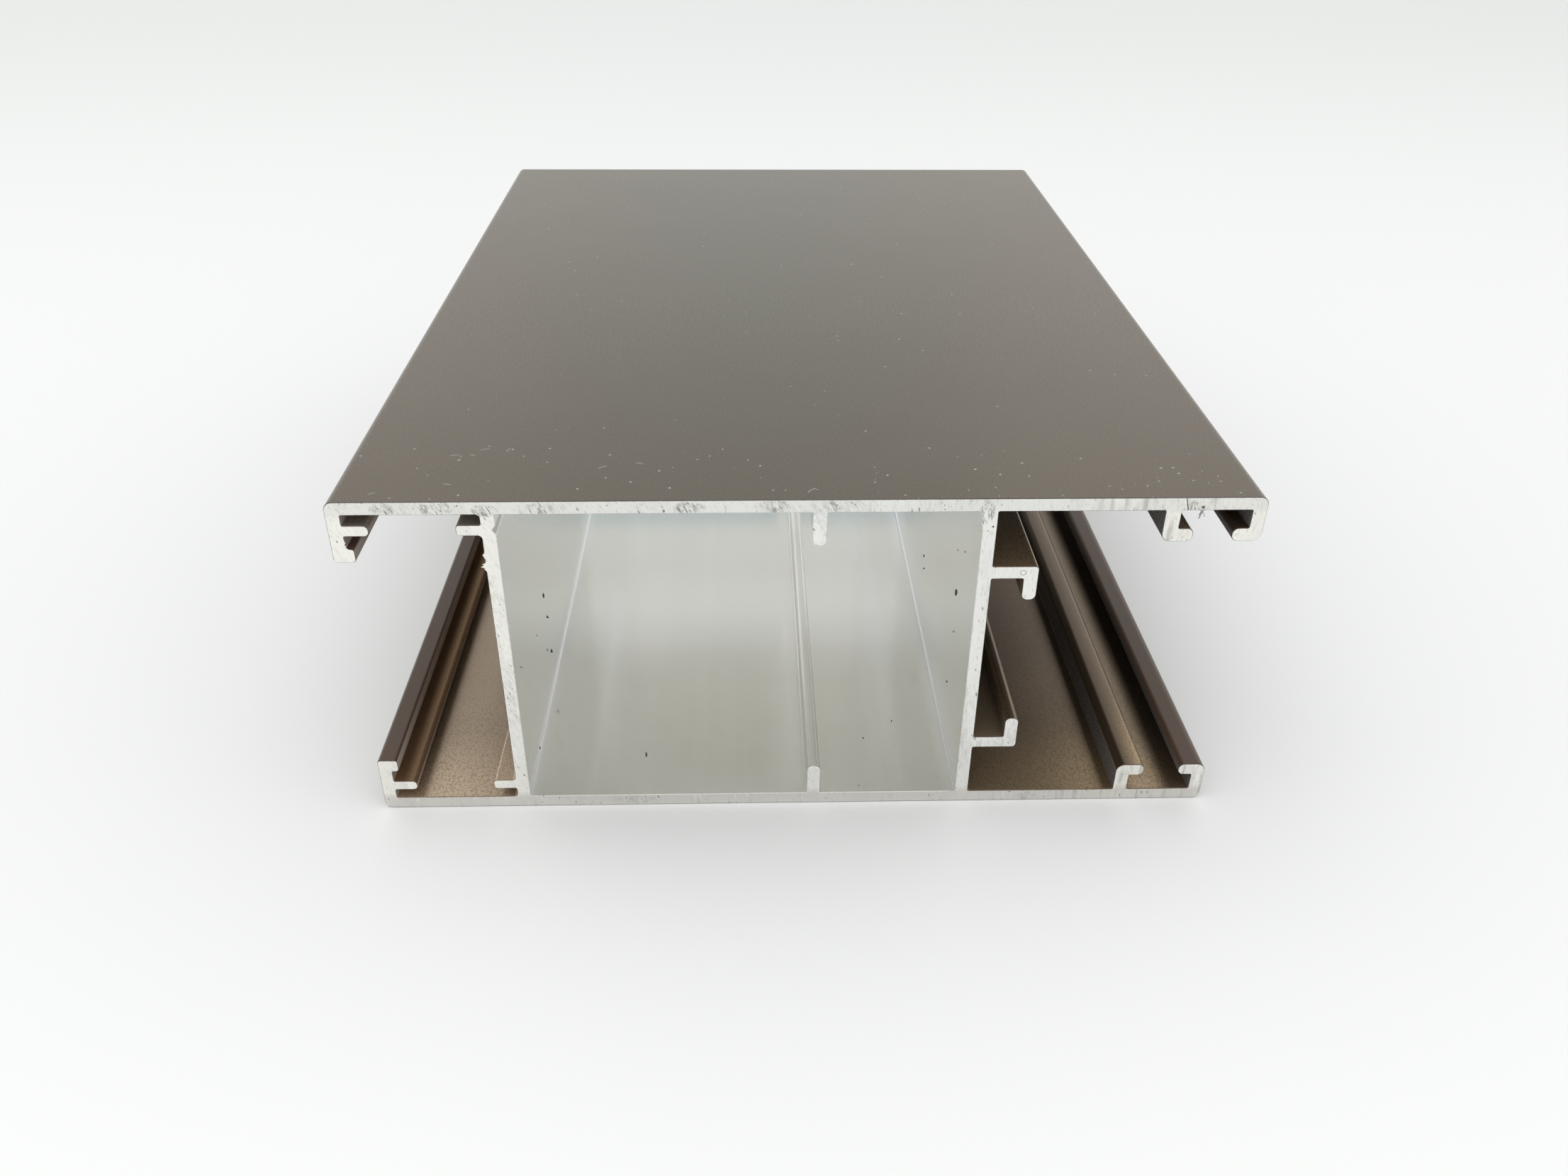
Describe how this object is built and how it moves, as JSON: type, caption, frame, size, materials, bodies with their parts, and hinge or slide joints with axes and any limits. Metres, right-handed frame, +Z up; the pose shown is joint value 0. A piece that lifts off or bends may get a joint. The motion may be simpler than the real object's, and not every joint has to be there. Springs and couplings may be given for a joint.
{
  "type": "aluminium extrusion profile",
  "caption": "Short sawn length of hollow aluminium window-frame profile, with a rectangular chamber, wide flanges, a hardware groove, gasket channels and clip ribs.",
  "frame": {"origin": "middle of the underside, halfway along the length", "axes": "+Y along the extrusion, from the near sawn end to the far one; +Z up through the depth; +X across the width towards the gasket channels"},
  "size_m": [0.09, 0.123, 0.038],
  "materials": {
    "frame_profile": "satin bronze-brown powder coat outside, bare mill finish in the chamber, bright saw-cut ends"
  },
  "bodies": {
    "root": {"frame_profile": "frame_profile"}
  },
  "joints": []
}
